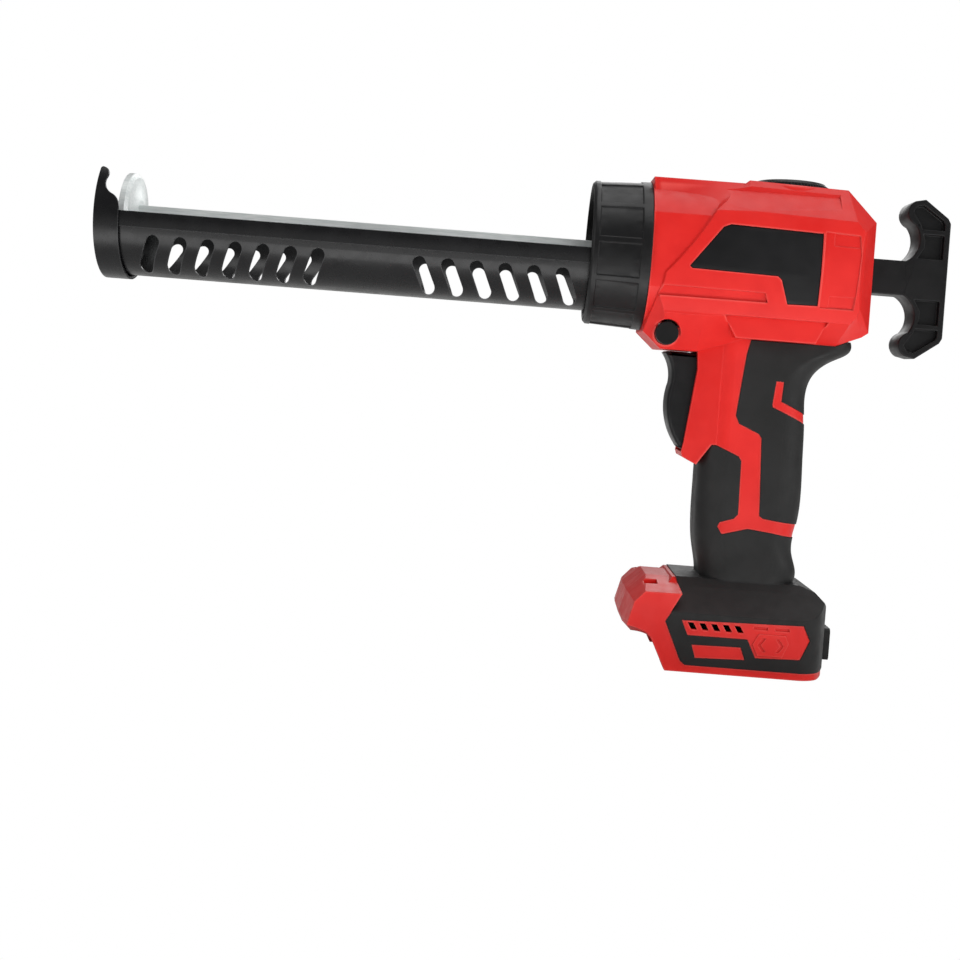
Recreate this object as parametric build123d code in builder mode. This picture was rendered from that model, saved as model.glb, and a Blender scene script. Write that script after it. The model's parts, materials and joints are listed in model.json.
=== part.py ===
from build123d import *

import os
from math import atan2, cos, degrees, hypot, pi, radians, sin, tan

# Electric caulking tool, in millimetres.
# X runs rearwards along the drive axis, Z is up and the left side faces -Y.
# The origin is on the drive axis, where the collar meets the housing.

# Clearances
run_gap = 0.3
fit_gap = 0.1
shaft_gap = 0.04
rod_gap = 0.15

# Cartridge carriage
trough_radius = 27.5
trough_wall = 1.2
trough_length = 233.4
hem_height = 7.0
hem_wall = 0.8
slot_width = 6.0
slot_top = -9.8
slot_bottom = -26.0
slot_lean = 4.3
front_slot_count = 7
front_slot_start = -226.6
front_slot_pitch = 12.5
rear_slot_count = 6
rear_slot_start = -101.5
rear_slot_pitch = 13.0

# Front cap
cap_wall = 1.1
cap_plate = 1.6
cap_depth = 11.2
nozzle_slot = 22.0
plate_top = 2.0
ear_top = 19.8
ear_width = 3.9

# Collar and carriage swivel
collar_length = 27.0
collar_front_radius = 33.4
collar_rear_radius = 34.6
collar_wall = 2.4
collar_pads = 12
pad_length = 19.0
pad_rib = 2.6
pad_depth = 0.5
pad_phase = -6.5
thread_length = 12.0
flange_thickness = 3.3
flange_overlap = 2.3
lip_thickness = 2.7

# Rod, rack and pinion
rod_width = 10.0
rod_height = 12.5
rod_top = 5.0
travel = 212.0
plunger_front = -242.4
plunger_depth = 5.6
plunger_rim = 2.6
plunger_radius = 20.0
plunger_wall = 1.6
stud_radius = 4.0
washer_thickness = 1.2
nut_thickness = 4.0
rack_module = 2.0
rack_addendum = 1.5
rack_clearance = 0.4
backlash = 0.3
pinion_teeth = 13
pinion_width = 9.4
pinion_shaft_radius = 4.0
pressure_angle = 20.0

# Right-angle drive, gearbox and motor
bevel_module = 1.0
gear_teeth = 26
bevel_teeth = 12
bevel_face = 4.5
bevel_share = 0.42
motor_side = 13.6
gearbox_radius = 12.9
gearbox_length = 22.0
motor_radius = 12.4
motor_length = 25.0
bell_length = 3.0
bearing_radius = 8.0
bearing_width = 5.0
drive_boss = 7.0
drive_shaft_radius = 3.0

# Moulded housing
wall = 2.6
snout_radius = 35.3
core_half = 18.0
side_half = 34.0
side_reach = 23.6
side_middle = -2.1
barrel_radius = 85.0
frame_bevel = 2.5
flank_sink = 1.2
body_rear = 102.6
body_top = 36.9
body_under = -35.4
chin_under = -42.8
panel_depth = 1.6
panel_thickness = 1.2
relief_depth = 0.8
grip_half = 18.2
grip_corner = 12.0
grip_wall = 3.4
cheek_half = 16.9
soft_depth = 1.6
soft_proud = 0.4
foot_half = 37.0
foot_top = -145.7
foot_bottom = -185.0
foot_rear = 95.0
foot_wall = 3.0
foot_corner = 12.0
foot_bulge = 9.8
snout_length = 30.0

# Battery dock
dock_half = 32.0
dock_opening = 28.4
dock_lip = 3.0
dock_depth = 12.0
dock_rear = 80.0

# Controls
trigger_half = 10.0
trigger_stroke = 6.0
trigger_rear = 32.0
button_radius = 5.0
button_x = 10.4
button_z = -35.6
button_half = 24.6
button_well = 1.8
button_bore = 17.6
button_step = 20.6
bolt_radius = 3.8
dial_radius = 17.6
dial_height = 6.2
dial_x = 65.2
dial_seat = 32.9

# T-handle
handle_half = 8.5
handle_rear = 139.2
handle_pocket = 3.0
handle_rim = 2.6
pin_radius = 2.0

# Places worked out from the sizes above
rod_bottom = rod_top - rod_height
rod_middle = (rod_top + rod_bottom) / 2
pitch_line = rod_bottom + rack_addendum
pinion_radius = rack_module * pinion_teeth / 2
shaft_z = pitch_line - pinion_radius
tooth_pitch = pi * rack_module
spigot_radius = collar_rear_radius - collar_wall - 1.2
frame_flange = spigot_radius + 1.1
flange_flat = spigot_radius - 3.0
frame_lean = 7.0
frame_front = wall + fit_gap
frame_back = frame_front + 3.8
pinion_x = frame_back + pinion_radius + rack_addendum + 1.2
bevel_gear_radius = bevel_module * gear_teeth / 2
bevel_pinion_radius = bevel_module * bevel_teeth / 2
cone_length = hypot(bevel_gear_radius, bevel_pinion_radius)
drive_plate = pinion_x + bevel_gear_radius + 3.6
gearbox_front = drive_plate + 3.0
motor_front = gearbox_front + gearbox_length
bell_front = motor_front + motor_length
flange_rear = -thread_length - run_gap
flange_front = flange_rear - flange_thickness
lip_rear = flange_front - run_gap
lip_front = lip_rear - lip_thickness
trough_front = flange_front - trough_length
hem_radius = trough_radius + hem_wall
cap_inner = hem_radius + fit_gap
cap_radius = cap_inner + cap_wall
cap_front = trough_front - cap_plate
flange_radius = spigot_radius - run_gap
lip_radius = hem_radius + 3 * run_gap
handle_front = body_rear + run_gap
dock_roof = foot_bottom + dock_depth
side_edge = side_half - barrel_radius + (barrel_radius**2 - side_reach**2) ** 0.5
outline_end = 125.0
span = 150.0


def export(piece, name):
    piece.label = name
    export_step(piece, f"parts/{name}.step")


os.makedirs("parts", exist_ok=True)

# Half-tube carriage with hemmed edges and two rows of slanted slots
front_slots = [front_slot_start + n * front_slot_pitch for n in range(front_slot_count)]
rear_slots = [rear_slot_start + n * rear_slot_pitch for n in range(rear_slot_count)]
slot_rise = slot_top - slot_bottom - slot_width
slot_run = hypot(slot_rise, slot_lean)
slot_angle = degrees(atan2(slot_rise, slot_lean))
slot_middle = (slot_top + slot_bottom) / 2
tube_plane = Plane.YZ.offset(trough_front)
with BuildPart() as carriage_trough:
    with BuildSketch(tube_plane):
        Circle(trough_radius)
        Circle(trough_radius - trough_wall, mode=Mode.SUBTRACT)
        Rectangle(3 * trough_radius, 2 * trough_radius, align=(Align.CENTER, Align.MIN), mode=Mode.SUBTRACT)
    extrude(amount=trough_length)
    with BuildSketch(tube_plane):
        Circle(hem_radius)
        Circle(trough_radius, mode=Mode.SUBTRACT)
        Rectangle(3 * hem_radius, 2 * hem_radius, align=(Align.CENTER, Align.MIN), mode=Mode.SUBTRACT)
        with Locations((0, -hem_height)):
            Rectangle(3 * hem_radius, 2 * hem_radius, align=(Align.CENTER, Align.MAX), mode=Mode.SUBTRACT)
    extrude(amount=trough_length)
    with BuildSketch(Plane.XZ):
        with Locations(*[(x, slot_middle) for x in front_slots]):
            SlotCenterToCenter(slot_run, slot_width, rotation=slot_angle)
        with Locations(*[(x, slot_middle) for x in rear_slots]):
            SlotCenterToCenter(slot_run, slot_width, rotation=180 - slot_angle)
    extrude(amount=2 * trough_radius, both=True, mode=Mode.SUBTRACT)
export(carriage_trough.part, "carriage_trough")

# Front cap: skirt round the trough that rises into two ears, and a plate with an open nozzle slot
skirt_rear = cap_front + cap_depth
skirt_low = (skirt_rear, -2 * cap_radius)
skirt_top = (skirt_rear, 1.5)
ear_foot = (skirt_rear - 3.6, 7.2)
ear_neck = (cap_front + ear_width, ear_top - 5.8)
ear_tip = (cap_front + 0.6, ear_top)
with BuildPart() as front_cap:
    with BuildSketch(Plane.YZ.offset(cap_front)):
        Circle(cap_radius)
        Circle(cap_inner, mode=Mode.SUBTRACT)
    extrude(amount=cap_depth)
    with BuildSketch(Plane.XZ):
        with BuildLine():
            Line(skirt_low, skirt_top)
            ThreePointArc(skirt_top, (skirt_rear - 0.9, 4.5), ear_foot)
            ThreePointArc(ear_foot, (cap_front + 4.3, 10.2), ear_neck)
            ThreePointArc(ear_neck, (cap_front + 3.5, ear_top - 1.5), ear_tip)
            Polyline(ear_tip, (cap_front, ear_top - 0.6), (cap_front, -2 * cap_radius), skirt_low)
        make_face()
    extrude(amount=2 * cap_radius, both=True, mode=Mode.INTERSECT)
    with BuildSketch(Plane.YZ.offset(cap_front)):
        Circle(cap_radius)
        with Locations((0, plate_top)):
            Rectangle(3 * cap_radius, cap_radius, align=(Align.CENTER, Align.MIN), mode=Mode.SUBTRACT)
        Circle(nozzle_slot / 2, mode=Mode.SUBTRACT)
    extrude(amount=cap_plate)
export(front_cap.part, "front_cap")

# Swivel flange welded to the rear of the trough
with BuildPart() as carriage_ring:
    with BuildSketch(Plane.YZ.offset(flange_front)):
        Circle(flange_radius)
        Circle(trough_radius - flange_overlap, mode=Mode.SUBTRACT)
    extrude(amount=flange_thickness)
export(carriage_ring.part, "carriage_ring")

# Collar nut: hollow front, inner lip behind the swivel flange, grip pads outside
pad_front = -(collar_length + pad_length) / 2 - 0.7
pad_rear = pad_front + pad_length
pad_taper = (collar_rear_radius - collar_front_radius) / collar_length
pad_turns = [Location((0, 0, 0), (pad_phase + n * 360 / collar_pads, 0, 0)) for n in range(collar_pads)]
rib_places = [turn * Location((pad_front, 0, collar_rear_radius)) for turn in pad_turns]
with BuildPart() as pads:
    with BuildSketch(Plane.XZ):
        with BuildLine():
            Polyline(
                (pad_front, collar_rear_radius + pad_front * pad_taper - pad_depth),
                (pad_rear, collar_rear_radius + pad_rear * pad_taper - pad_depth),
                (pad_rear, collar_rear_radius + pad_depth),
                (pad_front, collar_rear_radius + pad_depth),
                close=True,
            )
        make_face()
    revolve(axis=Axis.X)
    with Locations(*rib_places):
        Box(3 * pad_length, pad_rib, 6 * pad_depth, mode=Mode.SUBTRACT)
with BuildPart() as collar:
    with BuildSketch(Plane.XZ):
        with BuildLine():
            Polyline(
                (-collar_length, collar_front_radius - collar_wall),
                (-collar_length, collar_front_radius - 1.2),
                (-collar_length + 1.2, collar_front_radius),
                (0, collar_rear_radius),
                (0, spigot_radius + run_gap),
                (lip_rear, spigot_radius + run_gap),
                (lip_rear, lip_radius),
                (lip_front, lip_radius),
                (lip_front, collar_front_radius - collar_wall),
                close=True,
            )
        make_face()
    revolve(axis=Axis.X)
    add(pads.part, mode=Mode.SUBTRACT)
export(collar.part, "collar")

# Cast gear frame: threaded spigot, front wall, two bearing walls and the gearbox plate
bush_half_y = rod_width / 2 + 3.0
bush_half_z = rod_height / 2 + 3.0
left_wall_y = -rod_width / 2 - 4.0
right_wall_y = motor_side + 7.0
frame_top = rod_bottom + 2.0
frame_low = shaft_z - bearing_radius - 1.0
with BuildPart() as gear_frame:
    with BuildSketch(Plane.XZ):
        with BuildLine():
            Polyline(
                (-thread_length, spigot_radius - 3.5),
                (-thread_length, spigot_radius),
                (frame_front, spigot_radius),
                (frame_front, frame_flange),
                (frame_back, frame_flange),
                (frame_back, 0),
                (frame_front, 0),
                (frame_front, spigot_radius - 3.5),
                close=True,
            )
        make_face()
    revolve(axis=Axis.X)
    # Flats that key the flange in the housing
    with BuildSketch(Plane.YZ.offset(frame_front)):
        Rectangle(2 * span, 2 * span)
        Rectangle(2 * flange_flat, 2 * span, mode=Mode.SUBTRACT)
    extrude(amount=frame_back - frame_front, mode=Mode.SUBTRACT)
    with BuildSketch(Plane.XY.offset(frame_low)):
        with Locations((frame_back - 1.0, left_wall_y)):
            Rectangle(pinion_x - frame_back + 13.0, bearing_width, align=(Align.MIN, Align.MAX))
        with Locations((frame_back - 1.0, right_wall_y)):
            Rectangle(gearbox_front - frame_back + 1.0, bearing_width, align=(Align.MIN, Align.MIN))
        with Locations((gearbox_front, right_wall_y + bearing_width)):
            Rectangle(
                gearbox_front - drive_plate,
                right_wall_y + bearing_width - rod_width / 2 - 1.4,
                align=(Align.MAX, Align.MAX),
            )
    extrude(amount=frame_top - frame_low)
    # The low outer corner of the right wall leans with the housing, more so in front
    wall_face = right_wall_y + bearing_width
    for length, height in ((frame_lean, 9.0), (span, 4.0)):
        with BuildSketch(Plane.YZ.offset(frame_back - 1.0)):
            Polygon(
                (wall_face, frame_low + height),
                (wall_face, frame_low),
                (wall_face - 4.0, frame_low),
                align=None,
            )
        extrude(amount=length, mode=Mode.SUBTRACT)
    with BuildSketch(Plane.XZ):
        with Locations((pinion_x, shaft_z)):
            Circle(bearing_radius + fit_gap)
    extrude(amount=2 * side_half, both=True, mode=Mode.SUBTRACT)
    with BuildSketch(Plane.YZ.offset(drive_plate - 1.0)):
        with Locations((motor_side, shaft_z)):
            Circle(drive_boss + fit_gap)
    extrude(amount=gearbox_front - drive_plate + 2.0, mode=Mode.SUBTRACT)
    with BuildSketch(Plane.YZ.offset(frame_front - 1.0)):
        with Locations((0, rod_middle)):
            Rectangle(2 * (bush_half_y + fit_gap), 2 * (bush_half_z + fit_gap))
    extrude(amount=frame_back - frame_front + 2.0, mode=Mode.SUBTRACT)
export(gear_frame.part, "gear_frame")

# Guides of the rod in the gear frame and in the rear wall


def guide(front, length, flange_start, flange_length):
    with BuildPart() as bush:
        with BuildSketch(Plane.YZ.offset(front)):
            with Locations((0, rod_middle)):
                Rectangle(2 * bush_half_y, 2 * bush_half_z)
        extrude(amount=length)
        with BuildSketch(Plane.YZ.offset(flange_start)):
            with Locations((0, rod_middle)):
                RectangleRounded(2 * bush_half_y + 4.0, 2 * bush_half_z + 4.0, 2.0)
        extrude(amount=flange_length)
        with BuildSketch(Plane.YZ.offset(front - 10.0)):
            with Locations((0, rod_middle)):
                Rectangle(rod_width + 2 * rod_gap, rod_height + 2 * rod_gap)
        extrude(amount=length + 20.0, mode=Mode.SUBTRACT)
    return bush.part


export(guide(frame_front - 2.4, frame_back - frame_front + 2.8, frame_front - 2.4, 2.3), "front_bush")
rear_flange = 2.4
rear_wall_in = body_rear - wall
rear_start = rear_wall_in - rear_flange
export(guide(rear_start, wall + rear_flange, rear_start, rear_flange - fit_gap), "rear_bush")

# Rack bar: straight-sided teeth under the bar, threaded stud in front
half_tooth = tooth_pitch / 4 - backlash / 2
flank = tan(radians(pressure_angle))
rack_root = pitch_line + rack_addendum + rack_clearance
root_half = half_tooth + flank * (rack_root - pitch_line)
tip_half = half_tooth - flank * (pitch_line - rod_bottom)
rack_count = int(travel / tooth_pitch) + 5
rack_end = pinion_x + 2.5 * tooth_pitch
rod_front = plunger_front + plunger_depth
rod_rear = handle_front + 24.0
rod_outline = [(rod_front, rod_top), (rod_front, rod_bottom)]
for n in range(rack_count):
    middle = rack_end - (rack_count - n) * tooth_pitch
    rod_outline += [(middle - tooth_pitch + tip_half, rod_bottom)] if n == 0 else []
    rod_outline += [
        (middle - tooth_pitch + root_half, rack_root),
        (middle - root_half, rack_root),
        (middle - tip_half, rod_bottom),
        (middle + tip_half, rod_bottom),
    ]
rod_outline += [
    (rack_end - tooth_pitch + root_half, rack_root),
    (rack_end - root_half, rack_root),
    (rack_end - tip_half, rod_bottom),
    (rod_rear, rod_bottom),
    (rod_rear, rod_top),
]
with BuildPart() as drive_rod:
    with BuildSketch(Plane.XZ):
        with BuildLine():
            Polyline(*rod_outline, close=True)
        make_face()
    extrude(amount=rod_width / 2, both=True)
    with BuildSketch(Plane.YZ.offset(rod_front + 1.0)):
        Circle(stud_radius)
    extrude(amount=-1.2 - plunger_wall - washer_thickness - nut_thickness)
    with BuildSketch(Plane.XZ):
        with Locations((handle_front + 13.5, rod_middle)):
            Circle(pin_radius)
    extrude(amount=rod_width, both=True, mode=Mode.SUBTRACT)
export(drive_rod.part, "drive_rod")

# Pressed plunger, a dish with a turned rim, its washer and its nut
hub_radius = 6.5
rim_rear = plunger_front + plunger_rim
dish_rear = plunger_front + plunger_depth
with BuildPart() as plunger:
    with BuildSketch(Plane.XZ):
        with BuildLine():
            Polyline(
                (rim_rear, plunger_radius - plunger_wall),
                (plunger_front, plunger_radius - plunger_wall),
                (plunger_front, plunger_radius),
                (rim_rear, plunger_radius),
                (rim_rear + plunger_wall, plunger_radius - plunger_wall),
            )
            ThreePointArc(
                (rim_rear + plunger_wall, plunger_radius - plunger_wall),
                (dish_rear - 0.9, hub_radius + 6.0),
                (dish_rear, hub_radius + 1.0),
            )
            Polyline(
                (dish_rear, hub_radius + 1.0),
                (dish_rear, stud_radius + fit_gap),
                (dish_rear - plunger_wall, stud_radius + fit_gap),
                (dish_rear - plunger_wall, hub_radius + 1.0),
                (rim_rear, plunger_radius - plunger_wall),
            )
        make_face()
    revolve(axis=Axis.X)
export(plunger.part, "plunger")

washer_rear = dish_rear - plunger_wall
with BuildPart() as plunger_washer:
    with BuildSketch(Plane.YZ.offset(washer_rear)):
        Circle(hub_radius)
        Circle(stud_radius + fit_gap, mode=Mode.SUBTRACT)
    extrude(amount=-washer_thickness)
export(plunger_washer.part, "plunger_washer")

with BuildPart() as plunger_nut:
    with BuildSketch(Plane.YZ.offset(washer_rear - washer_thickness)):
        RegularPolygon(hub_radius, 6, major_radius=False)
        Circle(stud_radius + fit_gap, mode=Mode.SUBTRACT)
    extrude(amount=-nut_thickness)
export(plunger_nut.part, "plunger_nut")

# T-handle: stem and two finger hooks, each arm pocketed on both sides round one cross rib
handle_plane = Plane(origin=(0, 0, rod_middle), x_dir=(1, 0, 0), z_dir=(0, -1, 0))
stem_half = 8.0
hook_root = (handle_front + 16.8, stem_half)
hook_inner = (handle_front + 22.6, 17.0)
hook_neck = (handle_front + 20.0, 25.0)
hook_tip = (handle_front + 16.2, 31.0)
hook_top = (handle_front + 19.4, 36.0)
hook_back = (handle_front + 24.1, 37.0)
arm_top = (handle_rear - 1.2, 29.0)
with BuildSketch() as handle_face:
    with BuildLine():
        Line((handle_front, 0), (handle_front, stem_half))
        Line((handle_front, stem_half), hook_root)
        ThreePointArc(hook_root, hook_inner, hook_neck)
        ThreePointArc(hook_neck, hook_tip, hook_top)
        Polyline(hook_top, hook_back, arm_top, (handle_rear, 26.8), (handle_rear, 0), (handle_front, 0))
    make_face()
    mirror(about=Plane.XZ)
arm_pocket = [
    (hook_root[0] + 5.2, stem_half + 1.6),
    (hook_inner[0] + handle_rim, 15.0),
    (hook_inner[0] + handle_rim, 18.0),
    (hook_neck[0] + handle_rim, 25.4),
    (hook_tip[0] + handle_rim, 31.0),
    (hook_top[0] + 1.0, 33.4),
    (hook_back[0] - 0.8, 34.2),
    (handle_rear - 3.6, 27.8),
    (handle_rear - handle_rim, 26.0),
    (handle_rear - handle_rim, stem_half + 1.6),
]
rib_z = 22.0
rib_width = 2.2
pin_x = handle_front + 13.5
pin_depth = handle_half - 2.5
with BuildPart() as t_handle:
    with BuildSketch(handle_plane):
        add(handle_face.sketch)
    extrude(amount=handle_half, both=True)
    for side in (1, -1):
        with BuildSketch(handle_plane.offset(side * (handle_half - handle_pocket))):
            Polygon(*arm_pocket, align=None)
            mirror(about=Plane.XZ)
            with Locations((handle_rear, rib_z), (handle_rear, -rib_z)):
                Rectangle(span, rib_width, mode=Mode.SUBTRACT)
        extrude(amount=side * handle_half, mode=Mode.SUBTRACT)
    with BuildSketch(Plane.YZ.offset(handle_front)):
        with Locations((0, rod_middle)):
            Rectangle(rod_width + 2 * fit_gap, rod_height + 2 * fit_gap)
    extrude(amount=rod_rear - handle_front + fit_gap, mode=Mode.SUBTRACT)
    with BuildSketch(handle_plane.offset(pin_depth)):
        with Locations((pin_x, 0)):
            Circle(pin_radius)
    extrude(amount=-2 * handle_half, mode=Mode.SUBTRACT)
export(t_handle.part, "t_handle")

with BuildPart() as handle_pin:
    with BuildSketch(handle_plane.offset(pin_depth)):
        with Locations((pin_x, 0)):
            Circle(pin_radius - shaft_gap)
    extrude(amount=0.4 - handle_half - pin_depth)
export(handle_pin.part, "handle_pin")

# Rack pinion on its cross shaft, with involute flanks
base_radius = pinion_radius * cos(radians(pressure_angle))
tip_radius = pinion_radius + rack_addendum
root_radius = pinion_radius - rack_addendum - rack_clearance


def involute_angle(radius):
    turn = ((radius / base_radius) ** 2 - 1) ** 0.5
    return turn - atan2(turn, 1)


half_angle = (tooth_pitch / 2 - backlash) / 2 / pinion_radius + involute_angle(pinion_radius)
flank_radii = [base_radius + (tip_radius - base_radius) * n / 3 for n in range(4)]
tooth_side = [(root_radius, half_angle)] + [(r, half_angle - involute_angle(r)) for r in flank_radii]
pinion_outline = []
for n in range(pinion_teeth):
    centre = 2 * pi * n / pinion_teeth
    for r, turn in tooth_side:
        pinion_outline.append((r * sin(centre - turn), r * cos(centre - turn)))
    for r, turn in reversed(tooth_side):
        pinion_outline.append((r * sin(centre + turn), r * cos(centre + turn)))
shaft_plane = Plane(origin=(pinion_x, 0, shaft_z), x_dir=(1, 0, 0), z_dir=(0, -1, 0))
with BuildPart() as pinion_shaft:
    with BuildSketch(shaft_plane):
        Polygon(*pinion_outline, align=None)
    extrude(amount=pinion_width / 2, both=True)
    with BuildSketch(shaft_plane.offset(-right_wall_y - bearing_width)):
        Circle(pinion_shaft_radius)
    extrude(amount=right_wall_y - left_wall_y + 2 * bearing_width)
export(pinion_shaft.part, "pinion_shaft")

# Bearings of the cross shaft
for name, inner_y in (("bearing_left", left_wall_y), ("bearing_right", right_wall_y + bearing_width)):
    with BuildPart() as bearing:
        with BuildSketch(shaft_plane.offset(-inner_y)):
            Circle(bearing_radius)
            Circle(pinion_shaft_radius + shaft_gap, mode=Mode.SUBTRACT)
        extrude(amount=bearing_width)
    export(bearing.part, name)

# Straight bevel pair: every tooth is a wedge that points at the common apex


def root_lean(pitch_radius, other_radius):
    return atan2(pitch_radius, other_radius) - atan2(1.15 * bevel_module, cone_length)


def bevel_wheel(teeth, pitch_radius, other_radius, phase, bore, hub_length, shaft_length):
    # Built about Z, with the apex of the pitch cones at the origin
    cone = atan2(pitch_radius, other_radius)
    root = root_lean(pitch_radius, other_radius)
    tip_turn = atan2(0.9 * bevel_module, cone_length)
    tooth_turn = 2 * pi / teeth
    inner = cone_length - bevel_face
    base = cone_length * cos(root)

    def corner(reach, lean, turn):
        return Vector(reach * sin(lean) * cos(turn), reach * sin(lean) * sin(turn), reach * cos(lean))

    with BuildPart() as wheel:
        with BuildSketch(Plane.XZ):
            with BuildLine():
                Polyline(
                    (0, inner * cos(root)),
                    (inner * sin(root), inner * cos(root)),
                    (cone_length * sin(root), base),
                    (0.95 * cone_length * sin(root), base + 0.8),
                    (0.6 * pitch_radius, base + 0.8),
                    (0.6 * pitch_radius, base + hub_length),
                    (0, base + hub_length),
                    close=True,
                )
            make_face()
        revolve(axis=Axis.Z)
        for n in range(teeth):
            middle = (n + phase) * tooth_turn
            for reach in (cone_length, inner):
                low = bevel_share * tooth_turn * 0.72
                high = bevel_share * tooth_turn * 0.34
                deep = root - 0.01
                with BuildSketch(
                    Plane(
                        origin=corner(reach, deep, middle - low),
                        x_dir=corner(reach, deep, middle + low) - corner(reach, deep, middle - low),
                        z_dir=(corner(reach, deep, middle + low) - corner(reach, deep, middle - low)).cross(
                            corner(reach, cone + tip_turn, middle) - corner(reach, deep, middle)
                        ),
                    )
                ) as tooth_end:
                    plane = tooth_end.workplanes[0]
                    ring = [(deep, -low), (deep, low), (cone + tip_turn, high), (cone + tip_turn, -high)]
                    points = [plane.to_local_coords(corner(reach, lean, middle + turn)) for lean, turn in ring]
                    Polygon(*[(p.X, p.Y) for p in points], align=None)
            loft(ruled=True)
        if shaft_length:
            with BuildSketch(Plane.XY.offset(base + hub_length - 1.0)):
                Circle(drive_shaft_radius)
            extrude(amount=shaft_length)
        if bore:
            with BuildSketch(Plane.XY):
                Circle(bore)
            extrude(amount=2 * cone_length, mode=Mode.SUBTRACT)
    return wheel.part


apex = (pinion_x, motor_side, shaft_z)
gear_axis = Plane(origin=apex, x_dir=(1, 0, 0), z_dir=(0, -1, 0))
bevel_axis = Plane(origin=apex, x_dir=(0, -1, 0), z_dir=(1, 0, 0))
gear_base = cone_length * cos(root_lean(bevel_gear_radius, bevel_pinion_radius))
gear_hub = motor_side - gear_base - pinion_width / 2 - fit_gap
gear_bore = pinion_shaft_radius + shaft_gap
gear_form = bevel_wheel(gear_teeth, bevel_gear_radius, bevel_pinion_radius, 0.5, gear_bore, gear_hub, 0)
export(gear_axis.location * gear_form, "bevel_gear")
bevel_form = bevel_wheel(bevel_teeth, bevel_pinion_radius, bevel_gear_radius, 0.0, 0, 2.4, 11.0)
export(bevel_axis.location * bevel_form, "bevel_pinion")

# Closed gearbox with the bearing boss of the drive shaft
gearbox_plane = Plane(origin=(gearbox_front, motor_side, shaft_z), x_dir=(0, 1, 0), z_dir=(1, 0, 0))
with BuildPart() as gearbox:
    with BuildSketch(gearbox_plane):
        Circle(gearbox_radius)
    extrude(amount=gearbox_length)
    with BuildSketch(gearbox_plane.offset(drive_plate - gearbox_front + 0.2)):
        Circle(drive_boss)
    extrude(amount=gearbox_front - drive_plate)
    with BuildSketch(gearbox_plane.offset(drive_plate - gearbox_front)):
        Circle(drive_shaft_radius + shaft_gap)
    extrude(amount=12.0, mode=Mode.SUBTRACT)
    with BuildSketch(gearbox_plane.offset(gearbox_length / 2)):
        Circle(gearbox_radius)
        Circle(gearbox_radius - 0.7, mode=Mode.SUBTRACT)
    extrude(amount=2.0, mode=Mode.SUBTRACT)
export(gearbox.part, "gearbox")

motor_plane = gearbox_plane.offset(gearbox_length)
with BuildPart() as motor_can:
    with BuildSketch(motor_plane):
        Circle(motor_radius)
    extrude(amount=motor_length)
    fillet(motor_can.edges().filter_by(GeomType.CIRCLE), 1.0)
export(motor_can.part, "motor_can")

with BuildPart() as motor_end_bell:
    with BuildSketch(motor_plane.offset(motor_length)):
        Circle(motor_radius - 1.4)
    extrude(amount=bell_length)
    with BuildSketch(motor_plane.offset(motor_length + bell_length - 0.5)):
        with Locations((6.0, 0), (-6.0, 0)):
            Rectangle(0.8, 3.0)
    extrude(amount=1.9)
export(motor_end_bell.part, "motor_end_bell")

# Left halves of the outer forms, each drawn for a given inset so that walls follow outsides
body_outline = [
    (0, snout_radius),
    (41.6, snout_radius + 0.1),
    (43.4, body_top),
    (88.6, body_top - 1.1),
    (body_rear - 0.1, 22.0),
    (body_rear, -28.4),
    (99.6, -30.6),
    (88.0, body_under),
    (47.0, body_under),
    (25.0, chin_under),
    (8.5, chin_under),
    (0, -snout_radius),
]
side_outline = [
    (5.0, -8.0),
    (28.0, 21.0),
    (46.0, 21.6),
    (91.0, 20.6),
    (95.6, 16.4),
    (95.4, -19.5),
    (94.0, -22.6),
    (91.0, -25.6),
    (40.0, -25.6),
    (26.0, -26.6),
    (8.0, -26.6),
    (4.0, -20.0),
]


# Slope below the deck of the dial: its step in Y and Z, its fall and its ends
slope_step = 20.5
slope_top = 31.5
slope_fall = 44.2
slope_front = 28.5
slope_rear = 84.5


def barrel(sink):
    # A drum along X whose outside is the crowned side, sunk by a depth
    with BuildPart() as drum:
        with BuildSketch(Plane.YZ.offset(-1.0)):
            with Locations((barrel_radius - side_half, side_middle)):
                Circle(barrel_radius - sink)
        extrude(amount=span)
    return drum.part


def slope_cut(inset):
    # What the slope takes off the body; the inner wall follows it
    corner = (inset - slope_step, slope_top - 0.42 * inset)
    far = (corner[0] - span * cos(radians(slope_fall)), corner[1] - span * sin(radians(slope_fall)))
    with BuildPart() as cut:
        with BuildSketch(Plane.YZ.offset(slope_front - inset)):
            Polygon(corner, far, (far[0], span), (corner[0], span), align=None)
        extrude(amount=slope_rear - slope_front + 2 * inset)
    return cut.part


def body_form(inset):
    with BuildPart() as flank:
        with BuildSketch(Plane.YZ.offset(inset)):
            Circle(snout_radius - inset)
            Rectangle(span, span, align=(Align.MIN, Align.CENTER), mode=Mode.SUBTRACT)
        extrude(amount=snout_length)
        add(barrel(flank_sink + inset), mode=Mode.INTERSECT)
    with BuildPart() as form:
        for bevel, level in ((0, side_edge), (frame_bevel, side_half)):
            with BuildSketch(Plane.XZ.offset(level - inset)):
                Polygon(*side_outline, align=None)
                if inset + bevel:
                    offset(amount=-inset - bevel, kind=Kind.INTERSECTION)
        loft(ruled=True)
        add(barrel(inset), mode=Mode.INTERSECT)
        with BuildSketch(Plane.XZ):
            Polygon(*body_outline, align=None)
            if inset:
                offset(amount=-inset, kind=Kind.INTERSECTION)
        extrude(amount=core_half)
        for outline, level in ((body_outline, core_half), (side_outline, side_edge - inset)):
            with BuildSketch(Plane.XZ.offset(level)):
                Polygon(*outline, align=None)
                if inset:
                    offset(amount=-inset, kind=Kind.INTERSECTION)
        loft(ruled=True)
        add(flank.part)
        add(slope_cut(inset), mode=Mode.SUBTRACT)
    return form.part


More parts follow.
